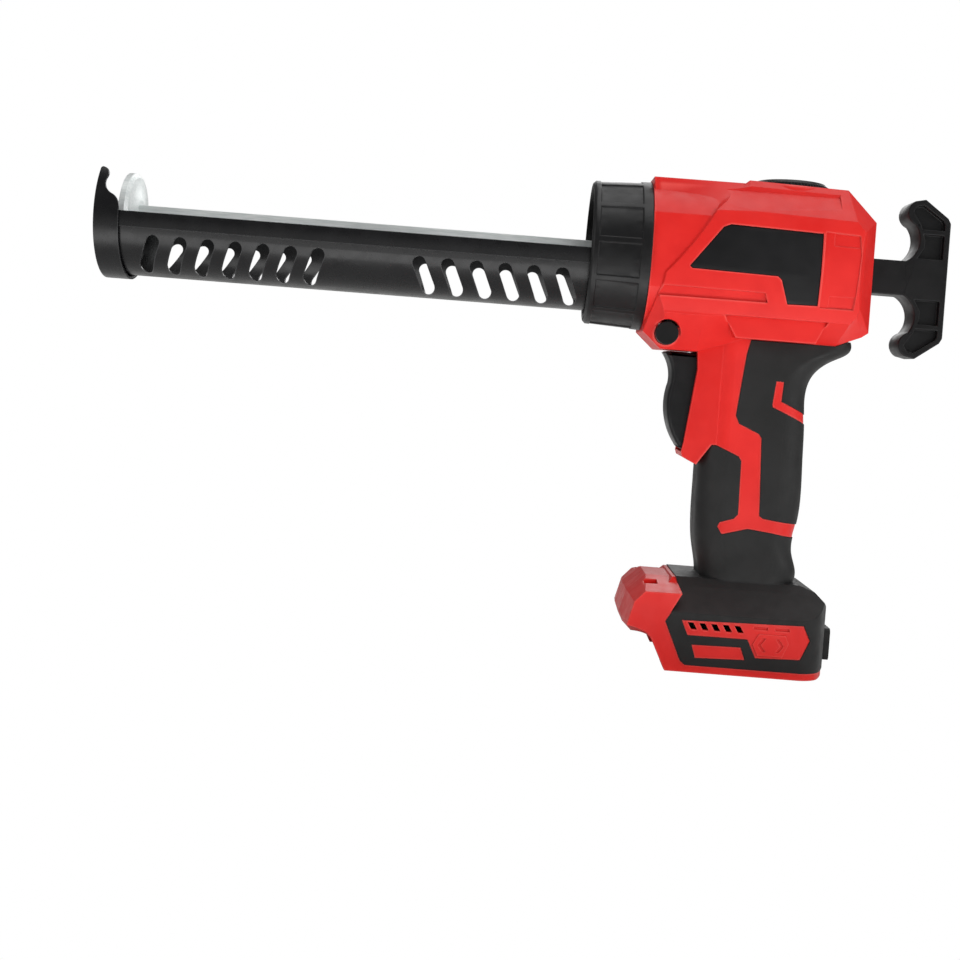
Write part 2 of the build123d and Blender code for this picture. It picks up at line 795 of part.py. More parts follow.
grip_sections = [
    (-33.0, 31.2, 97.0, 0.0),
    (-42.0, 31.2, 89.6, 0.0),
    (-50.0, 31.2, 80.4, -0.4),
    (-56.0, 31.2, 78.3, -0.6),
    (-71.0, 31.2, 78.5, -0.6),
    (-87.0, 31.4, 79.0, -0.2),
    (-103.0, 31.6, 79.4, 0.2),
    (-118.0, 31.8, 78.4, 0.4),
    (-132.0, 33.2, 77.0, 0.8),
    (-149.0, 35.6, 74.8, 1.2),
]


def grip_form(inset):
    with BuildPart() as form:
        for z, front, rear, widen in grip_sections:
            with BuildSketch(Plane.XY.offset(z)):
                with Locations(((front + rear) / 2, 0)):
                    RectangleRounded(
                        rear - front - 2 * inset,
                        2 * (grip_half + widen - inset),
                        grip_corner - inset,
                    )
        loft()
        split(bisect_by=Plane.XZ, keep=Keep.TOP)
    return form.part


cheek_outline = [
    (26.0, chin_under + 4.0),
    (27.0, -50.6),
    (23.2, -85.0),
    (22.4, -89.3),
    (23.1, -91.4),
    (29.4, -94.4),
    (35.7, -84.6),
    (44.0, -84.6),
    (44.0, chin_under + 4.0),
]
cheek_plan = [(16.0, 0), (16.0, -10.2), (37.5, -cheek_half), (42.0, -13.0), (span, -13.0), (span, 0)]

foot_side = [
    (19.5, foot_bottom),
    (12.5, -171.0),
    (12.5, -158.0),
    (22.0, foot_top),
    (80.0, foot_top),
    (86.5, foot_top - 2.2),
    (92.5, -154.0),
    (foot_rear, -158.5),
    (foot_rear, foot_bottom),
]
foot_end = [
    (-foot_half, foot_bottom),
    (-foot_half, -159.0),
    (-24.0, foot_top - 3.4),
    (-19.0, foot_top),
    (19.0, foot_top),
    (24.0, foot_top - 3.4),
    (foot_half, -159.0),
    (foot_half, foot_bottom),
]


rear_corners = [(foot_rear - foot_bulge, -foot_half), (foot_rear - foot_bulge, foot_half)]


def foot_form(inset):
    with BuildPart() as form:
        with BuildSketch(Plane.XZ):
            Polygon(*foot_side, align=None)
            if inset:
                offset(amount=-inset, kind=Kind.INTERSECTION)
        extrude(amount=foot_half - inset)
        with BuildSketch(Plane.YZ):
            Polygon(*foot_end, align=None)
            if inset:
                offset(amount=-inset, kind=Kind.INTERSECTION)
        extrude(amount=span, mode=Mode.INTERSECT)
        with BuildSketch(Plane.XY.offset(foot_bottom - 5.0)) as plan:
            with BuildLine():
                ThreePointArc(rear_corners[0], (foot_rear, 0), rear_corners[1])
                Polyline(rear_corners[1], (0, foot_half), (0, -foot_half), rear_corners[0])
            make_face()
            fillet(plan.vertices().group_by(Axis.X)[-1], foot_corner)
            if inset:
                offset(amount=-inset, kind=Kind.INTERSECTION)
        extrude(amount=span, mode=Mode.INTERSECT)
    return form.part


nose_core = [
    (24.0, -146.4),
    (10.5, -146.4),
    (2.1, -153.9),
    (-0.5, -163.9),
    (1.3, -168.5),
    (5.6, -172.6),
    (12.4, -172.6),
    (22.0, -165.0),
]
nose_side = [
    (25.0, -150.6),
    (8.5, -150.8),
    (4.0, -155.7),
    (1.3, -166.2),
    (5.2, -166.9),
    (10.3, -168.7),
    (12.5, -171.0),
    (18.2, -163.2),
]
nose_half = 13.0


def nose_form():
    with BuildPart() as form:
        with BuildSketch(Plane.XZ):
            Polygon(*nose_core, align=None)
        extrude(amount=nose_half)
        for outline, level in ((nose_core, nose_half), (nose_side, foot_half)):
            with BuildSketch(Plane.XZ.offset(level)):
                Polygon(*outline, align=None)
        loft(ruled=True)
    return form.part


def cheek_form():
    with BuildPart() as form:
        with BuildSketch(Plane.XZ):
            Polygon(*cheek_outline, align=None)
        extrude(amount=span)
        with BuildSketch(Plane.XY.offset(-span)):
            Polygon(*cheek_plan, align=None)
        extrude(amount=span, mode=Mode.INTERSECT)
    return form.part


# Outlines of the soft overmould and of the red that shows through it
rear_soft = [
    (49.6, body_under - 0.2),
    (48.2, -42.1),
    (45.5, -70.5),
    (47.2, -74.1),
    (56.6, -78.1),
    (57.9, -80.0),
    (59.5, -115.3),
    (61.2, -116.4),
    (outline_end, -124.0),
    (outline_end, -22.0),
    (99.6, -30.8),
    (88.0, body_under - 0.2),
]
lower_soft = [
    (20.0, -94.2),
    (29.7, -94.2),
    (35.8, -85.0),
    (37.8, -84.8),
    (48.0, -89.0),
    (49.3, -90.9),
    (49.7, -115.3),
    (47.9, -117.4),
    (41.7, -119.4),
    (40.7, -121.5),
    (42.9, -124.9),
    (54.5, -121.6),
    (65.6, -122.7),
    (outline_end, -133.0),
    (outline_end, -181.8),
    (28.3, -181.8),
    (26.1, -180.1),
    (18.4, -163.2),
    (25.2, -151.2),
    (22.9, -143.0),
    (20.0, -136.0),
]
inlay = [
    (62.6, -53.5),
    (66.2, -53.6),
    (65.7, -62.7),
    (outline_end, -86.8),
    (outline_end, -91.6),
    (61.7, -65.4),
    (61.6, -63.8),
]
vent_window = [
    (25.5, -162.1),
    (79.6, -160.7),
    (83.0, -167.2),
    (79.0, -175.8),
    (59.1, -176.5),
    (55.1, -168.5),
    (28.5, -168.6),
]
lower_window = [(30.6, -172.6), (52.5, -172.2), (54.6, -177.7), (32.5, -178.4)]

# Soft overmould: a skin of the grip and foot inside those outlines
with BuildPart() as soft_skin:
    add(grip_form(-soft_proud))
    add(foot_form(-soft_proud))
    add(grip_form(soft_depth), mode=Mode.SUBTRACT)
    add(foot_form(soft_depth), mode=Mode.SUBTRACT)
    with BuildSketch(Plane.XZ):
        Polygon(*rear_soft, align=None)
        Polygon(*lower_soft, align=None)
        Polygon(*inlay, align=None, mode=Mode.SUBTRACT)
        Polygon(*vent_window, align=None, mode=Mode.SUBTRACT)
        Polygon(*lower_window, align=None, mode=Mode.SUBTRACT)
    extrude(amount=span, mode=Mode.INTERSECT)
    add(body_form(0), mode=Mode.SUBTRACT)
    add(cheek_form(), mode=Mode.SUBTRACT)
    add(nose_form(), mode=Mode.SUBTRACT)

# Screws that close the halves from the right: place in X and Z, and the seat of the head in Y
screw_places = [
    (38.0, 20.0, 24.5),
    (90.0, 24.0, 20.0),
    (44.0, -40.0, 13.8),
    (76.0, -38.0, 13.6),
    (54.0, -104.0, 13.8),
    (64.0, -119.6, 13.8),
    (74.0, -153.0, 20.0),
    (17.0, -160.0, 26.0),
]
screw_head = 3.4
head_height = 2.4
screw_shank = 1.5
screw_reach = 8.0
boss_radius = 4.2
boss_rise = 2.2


def across(x, z, radius, start, end):
    # A round bar along Y
    with BuildPart() as bar:
        with BuildSketch(Plane(origin=(x, start, z), x_dir=(1, 0, 0), z_dir=(0, 1, 0))):
            Circle(radius)
        extrude(amount=end - start)
    return bar.part


with BuildPart() as housing_screws:
    for x, z, seat in screw_places:
        add(across(x, z, screw_head, seat, seat + head_height))
        add(across(x, z, screw_shank, -screw_reach, seat + head_height / 2))
export(housing_screws.part, "housing_screws")

export(soft_skin.part, "grip_left")
with BuildPart() as grip_right:
    mirror(soft_skin.part, about=Plane.XZ)
    for x, z, seat in screw_places:
        add(across(x, z, screw_head + fit_gap, seat, span), mode=Mode.SUBTRACT)
export(grip_right.part, "grip_right")

# Reliefs of the body side
panel_outline = [
    (17.2, -5.2),
    (31.2, 13.4),
    (34.5, 14.8),
    (75.9, 13.7),
    (75.6, -18.7),
    (62.0, -19.0),
    (58.5, -8.5),
    (56.7, -6.9),
    (18.5, -6.2),
]
groove_outline = [(6.8, -14.4), (51.8, -14.7), (53.2, -18.9), (3.9, -19.0)]
pocket_outline = [(35.0, -25.5), (81.5, -25.5), (77.0, body_under), (41.0, body_under)]
pocket_level = 27.5

# Shallow band behind the panel, with a deeper step at its top and at its bottom
band_outline = [(76.9, 14.6), (92.4, 13.9), (93.2, 5.0), (91.6, -19.4), (76.5, -19.4)]
band_depth = 0.5
groove_depth = 1.3
step_outlines = [
    [(81.0, 14.2), (92.2, 13.7), (92.6, 8.3), (81.0, 8.6)],
    [(80.5, -14.0), (91.6, -13.8), (91.2, -19.1), (80.3, -19.1)],
]

# Raised hexagon with two chevrons in the window of the foot
hex_x = 65.5
hex_z = -170.4
hex_outline = [(-8.0, 0), (-5.4, 4.8), (6.4, 4.8), (8.0, 1.2), (5.4, -4.8), (-5.6, -4.8)]
chevron = [(3.6, 3.0), (5.8, 0), (3.6, -3.0), (2.2, -3.0), (4.4, 0), (2.2, 3.0)]
hex_rise = 0.5

# Vents and slits of the foot
vent_count = 5
vent_pitch = 5.2
vent_start = 30.4
vent_z = -164.4
vent_lean = 1.3
slit_places = [60.7, 70.3]
slit_z = -163.2
slit_length = 6.4
slit_height = 1.2


def skin_cut(outline, depth):
    # The outline cut into the crowned side by a depth
    with BuildPart() as cut:
        with BuildSketch(Plane.XZ.offset(core_half)):
            Polygon(*outline, align=None)
        extrude(amount=span)
        add(barrel(depth), mode=Mode.SUBTRACT)
    return cut.part


def side_cut(outline, level):
    # The outline swept outwards from a level on the left
    with BuildPart() as cut:
        with BuildSketch(Plane.XZ.offset(level)):
            Polygon(*outline, align=None)
        extrude(amount=span)
    return cut.part


# Places of the switch and of the battery terminals
switch_front = trigger_rear + trigger_stroke + 1.0
switch_top = -48.0
switch_length = 21.0
switch_height = 34.0
switch_half = 9.5
slot_low = -89.0
block_x = 61.0
block_length = 34.0
block_width = 28.0
stem_radius = 3.0
low_corner = (Align.MIN, Align.MAX, Align.MAX)
low_middle = (Align.CENTER, Align.CENTER, Align.MIN)
top_rear = (Align.MAX, Align.MAX, Align.MAX)

# Left half of the housing
with BuildPart() as foot_cavity:
    add(foot_form(foot_wall))
    split(bisect_by=Plane.XY.offset(dock_roof + wall), keep=Keep.TOP)

with BuildPart() as housing_left:
    add(body_form(0))
    add(grip_form(0))
    add(cheek_form())
    add(foot_form(0))
    add(nose_form())
    with BuildSketch(Plane.XZ):
        Polygon(*pocket_outline, align=None)
    extrude(amount=pocket_level)
    add(soft_skin.part, mode=Mode.SUBTRACT)
    add(body_form(wall), mode=Mode.SUBTRACT)
    add(grip_form(grip_wall), mode=Mode.SUBTRACT)
    add(foot_cavity.part, mode=Mode.SUBTRACT)
    # Ways between body, grip and foot
    with Locations((57.0, 0, body_under - 4.0)):
        Box(38.0, 12.8, 9.0, align=(Align.CENTER, Align.MAX, Align.MIN), mode=Mode.SUBTRACT)
    with Locations((56.0, 0, foot_top - 16.0)):
        Box(38.0, 12.8, 16.0, align=(Align.CENTER, Align.MAX, Align.MIN), mode=Mode.SUBTRACT)
    # Screw bosses, seat of the dial and ribs at the switch
    for x, z, seat in screw_places:
        add(across(x, z, boss_radius, 0, -seat - boss_rise))
    with BuildSketch(Plane.XY.offset(dial_seat - wall)):
        with Locations((dial_x, 0)):
            Circle(dial_radius + wall)
        Rectangle(2 * span, span, align=(Align.CENTER, Align.MIN), mode=Mode.SUBTRACT)
    extrude(amount=2 * wall)
    for z in (switch_top - 8.0, switch_top - switch_height + 6.0):
        with Locations((switch_front + 8.0, -switch_half - fit_gap, z)):
            Box(6.0, 6.0, 2.4, align=(Align.MIN, Align.MAX, Align.CENTER))
    # Trigger slot, drive openings, dial recess and lock button bore
    with Locations((0, 0, chin_under - fit_gap)):
        Box(switch_front, trigger_half + run_gap, chin_under - slot_low, align=low_corner, mode=Mode.SUBTRACT)
    with BuildSketch(Plane.YZ.offset(-1.0)):
        Circle(spigot_radius + fit_gap)
    extrude(amount=wall + 2.0, mode=Mode.SUBTRACT)
    with BuildSketch(Plane.YZ.offset(rear_wall_in - 1.0)):
        with Locations((0, rod_middle)):
            Rectangle(2 * (bush_half_y + fit_gap), 2 * (bush_half_z + fit_gap))
    extrude(amount=wall + 2.0, mode=Mode.SUBTRACT)
    with BuildSketch(Plane.XY.offset(dial_seat)):
        with Locations((dial_x, 0)):
            Circle(dial_radius + run_gap)
    extrude(amount=span, mode=Mode.SUBTRACT)
    with BuildSketch(Plane.XY.offset(dial_seat - 2 * wall)):
        with Locations((dial_x, 0)):
            Circle(stem_radius + 2 * run_gap)
    extrude(amount=3 * wall, mode=Mode.SUBTRACT)
    add(across(button_x, button_z, button_radius + run_gap + fit_gap, -button_bore, -span), mode=Mode.SUBTRACT)
    add(across(button_x, button_z, button_radius + 1.2, button_well - button_half, -span), mode=Mode.SUBTRACT)
    # Reliefs, vents and slits
    add(skin_cut(panel_outline, panel_depth), mode=Mode.SUBTRACT)
    add(skin_cut(groove_outline, groove_depth), mode=Mode.SUBTRACT)
    add(skin_cut(band_outline, band_depth), mode=Mode.SUBTRACT)
    for outline in step_outlines:
        add(skin_cut(outline, relief_depth), mode=Mode.SUBTRACT)
    add(side_cut(pocket_outline, pocket_level), mode=Mode.SUBTRACT)
    for n in range(vent_count):
        x = vent_start + n * vent_pitch
        top = [(x - vent_lean - 0.9, vent_z + 1.5), (x + vent_lean - 0.9, vent_z + 1.5)]
        low = [(x + vent_lean + 0.9, vent_z - 1.5), (x - vent_lean + 0.9, vent_z - 1.5)]
        add(side_cut(top + low, foot_half - foot_wall - 1.0), mode=Mode.SUBTRACT)
    with BuildSketch(Plane.XZ.offset(foot_half - relief_depth)):
        with Locations(*[(x, slit_z) for x in slit_places]):
            Rectangle(slit_length, slit_height)
    extrude(amount=span, mode=Mode.SUBTRACT)
    with BuildSketch(Plane.XZ.offset(foot_half - relief_depth)):
        with Locations((hex_x, hex_z)):
            Polygon(*hex_outline, align=None)
            Polygon(*chevron, align=None, mode=Mode.SUBTRACT)
            Polygon(*[(-x, z) for x, z in chevron], align=None, mode=Mode.SUBTRACT)
    extrude(amount=relief_depth + hex_rise)
    with Locations((12.0, -22.5, nose_side[0][1] + 0.8)):
        Box(6.0, 6.4, 10.0, align=low_middle, mode=Mode.SUBTRACT)
    # Battery dock: open to the front and below, with a rail
    with Locations((dock_rear, 0, dock_roof)):
        Box(span, dock_half, dock_depth - dock_lip, align=top_rear, mode=Mode.SUBTRACT)
        Box(span, dock_opening, dock_depth + 1.0, align=top_rear, mode=Mode.SUBTRACT)
    with Locations((block_x, 0, dock_roof)):
        Box(block_length + 2 * fit_gap, block_width + 2 * fit_gap, 3 * wall, mode=Mode.SUBTRACT)
    for x, z, seat in screw_places:
        add(across(x, z, screw_shank + fit_gap, 0, -screw_reach - 0.5), mode=Mode.SUBTRACT)
export(housing_left.part, "housing_left")

# Ribs that carry gearbox and motor, drawn on the left as the rest is
rib_height = 17.0
rib_thickness = 2.4
with BuildPart() as motor_ribs:
    for x in (gearbox_front + 6.0, motor_front + 6.0, bell_front - 6.0):
        with BuildSketch(Plane.YZ.offset(x)):
            with Locations((-motor_side, rod_bottom)):
                Rectangle(side_half - motor_side, rib_height, align=(Align.MAX, Align.MAX))
            with Locations((-motor_side, shaft_z)):
                Circle(gearbox_radius + fit_gap, mode=Mode.SUBTRACT)
        extrude(amount=rib_thickness)
    add(body_form(wall - 0.5), mode=Mode.INTERSECT)

# Right half: mirrored, with the screw wells and those ribs
with BuildPart() as housing_right:
    mirror(housing_left.part, about=Plane.XZ)
    for x, z, seat in screw_places:
        add(across(x, z, screw_head + fit_gap, seat, span), mode=Mode.SUBTRACT)
        add(across(x, z, screw_shank + fit_gap, 0, seat + 1.0), mode=Mode.SUBTRACT)
    mirror(motor_ribs.part, about=Plane.XZ)
export(housing_right.part, "housing_right")

# Bare panels in the body sides
with BuildPart() as side_panel:
    with BuildSketch(Plane.XZ.offset(core_half)):
        Polygon(*panel_outline, align=None)
        offset(amount=-fit_gap, kind=Kind.INTERSECTION)
    extrude(amount=span)
    add(barrel(panel_depth), mode=Mode.SUBTRACT)
    add(barrel(panel_depth - panel_thickness), mode=Mode.INTERSECT)
export(side_panel.part, "side_panel_left")
with BuildPart() as side_panel_right:
    mirror(side_panel.part, about=Plane.XZ)
export(side_panel_right.part, "side_panel_right")

# Trigger, guided by its slot
trigger_top = chin_under - 0.5
trigger_nose = (11.4, trigger_top)
trigger_waist = (15.8, -58.0)
trigger_toe = (22.4, -88.4)
with BuildPart() as trigger:
    with BuildSketch(Plane.XZ):
        with BuildLine():
            ThreePointArc(trigger_nose, (15.2, -50.2), trigger_waist)
            ThreePointArc(trigger_waist, (14.8, -71.0), trigger_toe)
            Polyline(trigger_toe, (trigger_rear, -87.0), (trigger_rear, trigger_top), trigger_nose)
        make_face()
    extrude(amount=trigger_half, both=True)
export(trigger.part, "trigger")

with BuildPart() as trigger_switch:
    with Locations((switch_front, 0, switch_top)):
        Box(switch_length, 2 * switch_half, switch_height, align=(Align.MIN, Align.CENTER, Align.MAX))
    with BuildSketch(Plane.YZ.offset(switch_front)):
        with Locations((0, switch_top - 12.0)):
            Circle(3.0)
    extrude(amount=-0.7)
export(trigger_switch.part, "trigger_switch")

# Lock button, a bolt across the housing
with BuildPart() as lock_button:
    add(across(button_x, button_z, bolt_radius, -button_half, button_half))
    add(across(button_x, button_z, button_radius, button_step, button_half))
    add(across(button_x, button_z, button_radius, -button_step, -button_half))
export(lock_button.part, "lock_button")

# Speed dial and the control that it turns
with BuildPart() as speed_dial:
    with BuildSketch(Plane.XY.offset(dial_seat + run_gap)):
        with Locations((dial_x, 0)):
            Circle(dial_radius)
    extrude(amount=dial_height - run_gap)
    chamfer(speed_dial.edges().group_by(Axis.Z)[-1], 1.4)
    with BuildSketch(Plane.XY.offset(dial_seat - wall - 5.0)):
        with Locations((dial_x, 0)):
            Circle(stem_radius)
    extrude(amount=wall + 6.0)
export(speed_dial.part, "speed_dial")

with BuildPart() as speed_control:
    with Locations((dial_x, 0, dial_seat - wall)):
        Box(16.0, 16.0, 8.0, align=(Align.CENTER, Align.CENTER, Align.MAX))
    with BuildSketch(Plane.XY.offset(dial_seat - wall)):
        with Locations((dial_x, 0)):
            Circle(stem_radius + shaft_gap)
    extrude(amount=-6.0, mode=Mode.SUBTRACT)
export(speed_control.part, "speed_control")

# Battery terminals and controller in the foot
block_seat = dock_roof + wall
block_flange = 2.0
with BuildPart() as terminal_block:
    with Locations((block_x, 0, block_seat - 10.0)):
        Box(block_length, block_width, 10.0, align=low_middle)
    with Locations((block_x, 0, block_seat)):
        Box(block_length + 4.0, block_width + 4.0, block_flange, align=low_middle)
export(terminal_block.part, "terminal_block")

blade_x = block_x - block_length / 2
with BuildPart() as terminal_blades:
    with Locations((blade_x, 8.0, dock_roof - 1.0), (blade_x, -8.0, dock_roof - 1.0)):
        Box(10.0, 0.8, 5.0, align=(Align.MAX, Align.CENTER, Align.MAX))
export(terminal_blades.part, "terminal_blades")

with BuildPart() as circuit_board:
    with Locations((block_x - 6.0, 0, block_seat + block_flange)):
        Box(48.0, 44.0, 1.6, align=low_middle)
export(circuit_board.part, "circuit_board")

# Ribbed bumper behind the foot, shaped to the curve that it sits on
bumper_depth = 2.0
bumper_half = 12.0
bumper_height = 14.6
bumper_z = -172.4
bumper_face = foot_rear + soft_proud + bumper_depth
with BuildPart() as rear_bumper:
    with BuildSketch(Plane.YZ.offset(bumper_face)):
        with Locations((0, bumper_z)):
            RectangleRounded(2 * bumper_half, bumper_height, 2.0)
    extrude(amount=-2 * bumper_depth)
    with BuildSketch(Plane.YZ.offset(bumper_face)):
        with Locations((0, bumper_z)):
            with GridLocations(4.0, 0, 5, 1):
                Rectangle(1.2, bumper_height + 1.0)
    extrude(amount=-0.8, mode=Mode.SUBTRACT)
    with BuildSketch(Plane.XY.offset(foot_bottom)):
        with BuildLine():
            ThreePointArc(rear_corners[0], (foot_rear, 0), rear_corners[1])
            Line(rear_corners[1], rear_corners[0])
        make_face()
        offset(amount=soft_proud, kind=Kind.INTERSECTION)
    extrude(amount=foot_top - foot_bottom, mode=Mode.SUBTRACT)
export(rear_bumper.part, "rear_bumper")
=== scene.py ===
import json
import math
import bpy
from mathutils import Matrix, Vector


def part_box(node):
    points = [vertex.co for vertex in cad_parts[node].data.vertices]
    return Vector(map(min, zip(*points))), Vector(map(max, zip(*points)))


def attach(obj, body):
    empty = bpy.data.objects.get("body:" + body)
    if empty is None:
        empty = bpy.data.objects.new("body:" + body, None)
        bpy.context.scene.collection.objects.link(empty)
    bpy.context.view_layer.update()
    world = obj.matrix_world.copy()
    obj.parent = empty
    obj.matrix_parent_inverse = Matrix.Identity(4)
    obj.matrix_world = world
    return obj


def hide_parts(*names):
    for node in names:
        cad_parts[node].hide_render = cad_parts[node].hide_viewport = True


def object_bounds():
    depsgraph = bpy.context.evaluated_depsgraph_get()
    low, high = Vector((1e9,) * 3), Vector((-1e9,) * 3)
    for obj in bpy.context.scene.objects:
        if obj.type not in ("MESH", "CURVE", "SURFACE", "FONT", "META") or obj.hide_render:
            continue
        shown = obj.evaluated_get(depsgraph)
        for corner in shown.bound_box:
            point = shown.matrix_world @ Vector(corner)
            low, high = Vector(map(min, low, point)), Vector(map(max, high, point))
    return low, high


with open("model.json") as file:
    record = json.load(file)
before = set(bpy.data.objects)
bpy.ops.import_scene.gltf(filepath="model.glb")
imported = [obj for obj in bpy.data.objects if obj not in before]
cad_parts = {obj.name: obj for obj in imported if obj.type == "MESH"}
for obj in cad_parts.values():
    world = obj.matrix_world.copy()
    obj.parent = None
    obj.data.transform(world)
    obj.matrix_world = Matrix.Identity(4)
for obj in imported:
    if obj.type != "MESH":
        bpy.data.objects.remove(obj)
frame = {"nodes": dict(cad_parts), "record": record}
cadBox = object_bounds()
nodes = frame["nodes"]
mm = 0.001

# Camera: the photograph looks square on to the left side, tilted a little in its plane
view = {
    "eye": (-0.0591, -0.670, -0.0556),
    "tilt": 4.5,  # degrees that the barrel falls to the right
    "lens": 53.64,
    "sensor": 36.0,
    "shift": (-0.03125, -0.1198),
}
camData = bpy.data.cameras.new("camera")
camData.lens = view["lens"]
camData.sensor_width = view["sensor"]
camData.shift_x, camData.shift_y = view["shift"]
camera = bpy.data.objects.new("camera", camData)
bpy.context.scene.collection.objects.link(camera)
turn = math.radians(view["tilt"])
right = Vector((math.cos(turn), 0, math.sin(turn)))
up = Vector((-math.sin(turn), 0, math.cos(turn)))
back = Vector((0, -1, 0))
camera.matrix_world = Matrix((right, up, back)).transposed().to_4x4()
camera.location = view["eye"]
bpy.context.scene.camera = camera
bpy.context.scene.view_settings.view_transform = "Standard"
print("camera done")


# Node trees and colours
def linear(hexColour):
    parts = [int(hexColour[i:i + 2], 16) / 255 for i in (1, 3, 5)]
    return [c / 12.92 if c <= 0.04045 else ((c + 0.055) / 1.055) ** 2.4 for c in parts] + [1.0]


def addNode(tree, kind, settings=None, inputs=None, links=None):
    node = tree.nodes.new(kind)
    for key, value in (settings or {}).items():
        setattr(node, key, value)
    for key, value in (inputs or {}).items():
        node.inputs[key].default_value = value
    for key, sockets in (links or {}).items():
        for socket in sockets if isinstance(sockets, list) else [sockets]:
            tree.links.new(socket, node.inputs[key])
    return node


def newMaterial(name):
    material = bpy.data.materials.new(name)
    material.use_nodes = True
    tree = material.node_tree
    tree.nodes.clear()
    out = addNode(tree, "ShaderNodeOutputMaterial")
    place = addNode(tree, "ShaderNodeTexCoord").outputs["Object"]
    return material, tree, out, place


def cloud(tree, place, size, detail, lay=(1, 1, 1)):
    # One blotch of the pattern is about size metres across, finer along a lay above one
    scale = [stretch / size for stretch in lay]
    spread = addNode(tree, "ShaderNodeMapping", inputs={"Scale": scale}, links={"Vector": place})
    return addNode(tree, "ShaderNodeTexNoise", inputs={"Scale": 1.0, "Detail": detail},
                   links={"Vector": spread.outputs["Vector"]}).outputs["Fac"]


def mottled(tree, pattern, dark, light, span):
    share = addNode(tree, "ShaderNodeMapRange", inputs={"From Min": span[0], "From Max": span[1]},
                    links={"Value": pattern}).outputs["Result"]
    return addNode(tree, "ShaderNodeMix", {"data_type": "RGBA"}, {"A": linear(dark), "B": linear(light)},
                   {"Factor": share}).outputs["Result"]


# Moulded skin: faint flow mottling, softened corners and grain, three times coarser than real to show
moulded = {
    "tone": 18 * mm, "toneDetail": 3.0, "toneSpan": (0.35, 0.65), "lay": (1, 1, 1),
    "patch": 6 * mm, "patchDetail": 4.0, "patchSpan": (0.35, 0.65), "shinier": 0.05, "duller": 0.06,
    "grainDetail": 1.0, "bite": 0.35, "metallic": 0.0, "specular": 0.5, "seam": 0.0, "rim": None,
}
# Bare or plated metal: streaks in tint, gloss and relief
worked = {
    "toneDetail": 4.0, "toneSpan": (0.3, 0.7), "lay": (1, 1, 1),
    "patch": 5 * mm, "patchDetail": 5.0, "patchSpan": (0.35, 0.65), "shinier": 0.07, "duller": 0.1,
    "grainDetail": 4.0, "depth": 0.02 * mm, "bite": 0.2, "metallic": 1.0, "specular": 0.5,
    "seam": 0.0, "rim": None,
}
seamShade = "#0D0D0D"   # the shadow in the joint of the two halves
paintedHighlightSpan = (0.35, 0.85)  # painted highlight: from a thin corner to the open face
# how much of the paler colour is painted on the thinnest corners as a highlight
paintedHighlightStrength = 0.75
raySamples = {"corner": 6, "rim": 8}


def finish(name, look):
    material, tree, out, place = newMaterial(name)
    tones = cloud(tree, place, look["tone"], look["toneDetail"], look["lay"])
    shade = mottled(tree, tones, look["dark"], look["light"], look["toneSpan"])
    gloss = addNode(tree, "ShaderNodeMapRange",
                    inputs={"From Min": look["patchSpan"][0], "From Max": look["patchSpan"][1],
                            "To Min": look["rough"] - look["shinier"],
                            "To Max": look["rough"] + look["duller"]},
                    links={"Value": cloud(tree, place, look["patch"], look["patchDetail"])})
    if look["seam"]:
        across = addNode(tree, "ShaderNodeSeparateXYZ", links={"Vector": place}).outputs["Y"]
        line = addNode(tree, "ShaderNodeMath", {"operation": "COMPARE"}, {1: 0.0, 2: look["seam"]},
                       {0: across})
        shade = addNode(tree, "ShaderNodeMix", {"data_type": "RGBA"}, {"B": linear(seamShade)},
                        {"Factor": line.outputs[0], "A": shade}).outputs["Result"]
    # Painted highlight: corners found by an inward ambient occlusion are blended towards the paler rim colour
    if look["rim"]:
        paintedHighlightMask = addNode(tree, "ShaderNodeAmbientOcclusion",
                       {"samples": raySamples["rim"], "inside": True, "only_local": True},
                       {"Distance": look["reach"]}).outputs["AO"]
        paintedHighlightShare = addNode(tree, "ShaderNodeMapRange",
                       inputs={"From Min": paintedHighlightSpan[0], "From Max": paintedHighlightSpan[1],
                               "To Min": paintedHighlightStrength, "To Max": 0.0},
                       links={"Value": paintedHighlightMask})
        shade = addNode(tree, "ShaderNodeMix", {"data_type": "RGBA"}, {"B": linear(look["rim"])},
                        {"Factor": paintedHighlightShare.outputs["Result"], "A": shade}).outputs["Result"]
    corner = addNode(tree, "ShaderNodeBevel", {"samples": raySamples["corner"]}, {"Radius": look["corner"]})
    grain = cloud(tree, place, look["grain"], look["grainDetail"], look["lay"])
    bump = addNode(tree, "ShaderNodeBump", inputs={"Strength": look["bite"], "Distance": look["depth"]},
                   links={"Height": grain, "Normal": corner.outputs["Normal"]})
    shader = addNode(tree, "ShaderNodeBsdfPrincipled",
                     inputs={"Metallic": look["metallic"], "Specular IOR Level": look["specular"]},
                     links={"Base Color": shade, "Roughness": gloss.outputs["Result"],
                            "Normal": bump.outputs["Normal"]})
    tree.links.new(shader.outputs["BSDF"], out.inputs["Surface"])
    return material


